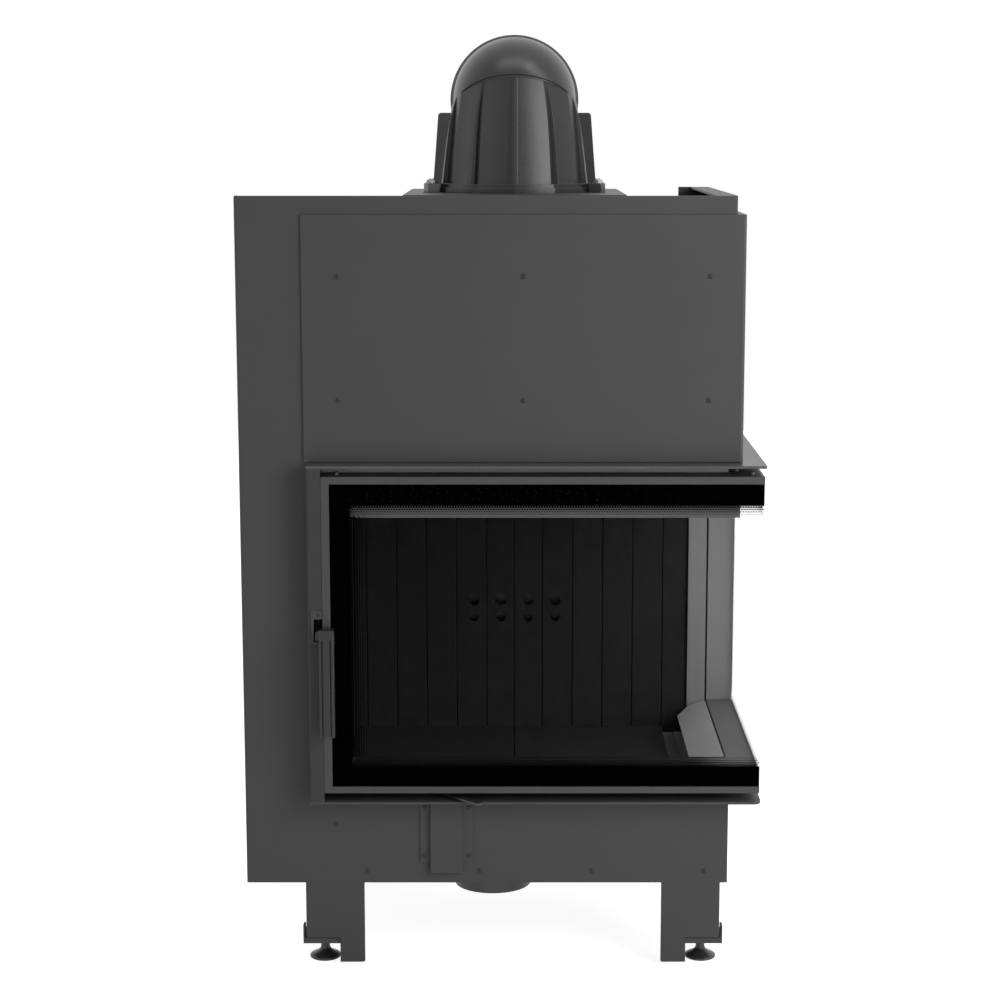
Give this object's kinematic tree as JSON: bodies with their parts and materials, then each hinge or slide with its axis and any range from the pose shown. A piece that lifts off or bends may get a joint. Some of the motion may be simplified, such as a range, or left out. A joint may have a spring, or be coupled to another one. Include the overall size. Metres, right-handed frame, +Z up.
{
  "type": "corner fireplace insert",
  "caption": "Steel wood-burning fireplace insert with a corner glass door, lined firebox, ribbed flue collar that turns, air lever and levelling feet.",
  "frame": {"origin": "on the floor, under the middle of the insert's bounding box", "axes": "+X along the front towards the glazed side, +Y from the front to the back, +Z up"},
  "size_m": [0.79, 0.567, 1.434],
  "materials": {
    "casing_steel": "sheet steel in matt heat-resistant grey-black paint",
    "door_steel": "steel tube in matt heat-resistant paint",
    "firebox_steel": "plate steel in pale heat-resistant paint",
    "cast_iron_flue": "cast iron in satin black paint",
    "lining": "pressed refractory board, dark and matt",
    "ceramic_glass": "clear ceramic glass with a printed black border",
    "hardware": "blackened and zinc-plated steel",
    "handle_steel": "steel in satin black paint",
    "gasket_rope": "braided glass-fibre rope, black",
    "foot_plastic": "moulded black nylon"
  },
  "bodies": {
    "root": {"casing_front": "casing_steel", "casing_side": "casing_steel", "casing_rear": "casing_steel", "casing_glazed_side": "casing_steel", "base_plate": "casing_steel", "service_panel": "casing_steel", "lower_cover": "casing_steel", "casing_screws": "hardware", "top_shelf": "casing_steel", "bottom_ledge": "casing_steel", "left_jamb": "casing_steel", "keeper_plate": "hardware", "front_sill": "firebox_steel", "side_sill": "firebox_steel", "opening_header": "firebox_steel", "inner_jamb": "firebox_steel", "rear_post": "firebox_steel", "firebox_side_wall": "firebox_steel", "firebox_rear_wall": "firebox_steel", "firebox_floor": "firebox_steel", "firebox_top": "firebox_steel", "back_lining_left": "lining", "back_lining_right": "lining", "side_lining": "lining", "floor_lining_left": "lining", "floor_lining_right": "lining", "floor_strip": "firebox_steel", "baffle": "lining", "smoke_hood": "firebox_steel", "flue_plate": "firebox_steel", "flue_clamps": "cast_iron_flue", "clamp_bolts": "hardware", "air_box": "casing_steel", "air_spigot": "casing_steel", "hinge_brackets": "hardware", "leg_front_left": "casing_steel", "leg_front_right": "casing_steel", "leg_rear_left": "casing_steel", "leg_rear_right": "casing_steel"},
    "door": {"door_bottom_rail": "door_steel", "door_top_rail": "door_steel", "door_left_stile": "door_steel", "door_rear_stile": "door_steel", "door_screws": "hardware", "glazing_bars": "door_steel", "front_glass": "ceramic_glass", "side_glass": "ceramic_glass", "air_wash_strip": "door_steel", "door_gasket": "gasket_rope"},
    "handle": {"handle_grip": "handle_steel", "latch_cam": "handle_steel"},
    "air_lever": {"air_lever": "hardware"},
    "air_slide": {"air_slide": "hardware"},
    "flue_base": {"flue_bell": "cast_iron_flue"},
    "flue_elbow": {"flue_elbow": "cast_iron_flue"},
    "foot_front_left": {"foot_front_left": "foot_plastic"},
    "foot_front_right": {"foot_front_right": "foot_plastic"},
    "foot_rear_left": {"foot_rear_left": "foot_plastic"},
    "foot_rear_right": {"foot_rear_right": "foot_plastic"}
  },
  "joints": [
    {"name": "door_hinge", "type": "hinge", "parent": "root", "child": "door", "pos_m": [0.378, 0.1575, 0.533], "axis": [0, 0, 1], "range_deg": [0, 90]},
    {"name": "handle_turn", "type": "hinge", "parent": "door", "child": "handle", "pos_m": [-0.2623, -0.2645, 0.5385], "axis": [0, 1, 0], "range_deg": [0, 45]},
    {"name": "air_lever_turn", "type": "hinge", "parent": "root", "child": "air_lever", "pos_m": [-0.13, -0.1825, 0.278], "axis": [0, 0, 1], "range_deg": [-60, 0]},
    {"name": "air_slide_move", "type": "slide", "parent": "root", "child": "air_slide", "axis": [1, 0, 0], "range_m": [0, 0.0145]},
    {"name": "flue_base_turn", "type": "hinge", "parent": "root", "child": "flue_base", "pos_m": [0.0195, -0.0305, 1.196], "axis": [0, 0, 1], "continuous": true},
    {"name": "flue_elbow_turn", "type": "hinge", "parent": "flue_base", "child": "flue_elbow", "pos_m": [0.0195, -0.0285, 1.312], "axis": [0, 0.515, 0.8572], "continuous": true},
    {"name": "foot_front_left_screw", "type": "slide", "parent": "root", "child": "foot_front_left", "axis": [0, 0, -1], "range_m": [0, 0.02]},
    {"name": "foot_front_right_screw", "type": "slide", "parent": "root", "child": "foot_front_right", "axis": [0, 0, -1], "range_m": [0, 0.02]},
    {"name": "foot_rear_left_screw", "type": "slide", "parent": "root", "child": "foot_rear_left", "axis": [0, 0, -1], "range_m": [0, 0.02]},
    {"name": "foot_rear_right_screw", "type": "slide", "parent": "root", "child": "foot_rear_right", "axis": [0, 0, -1], "range_m": [0, 0.02]}
  ],
  "couplings": [
    {"joint": "air_slide_move", "follows": "air_lever_turn", "m_per_rad": -0.01384}
  ]
}
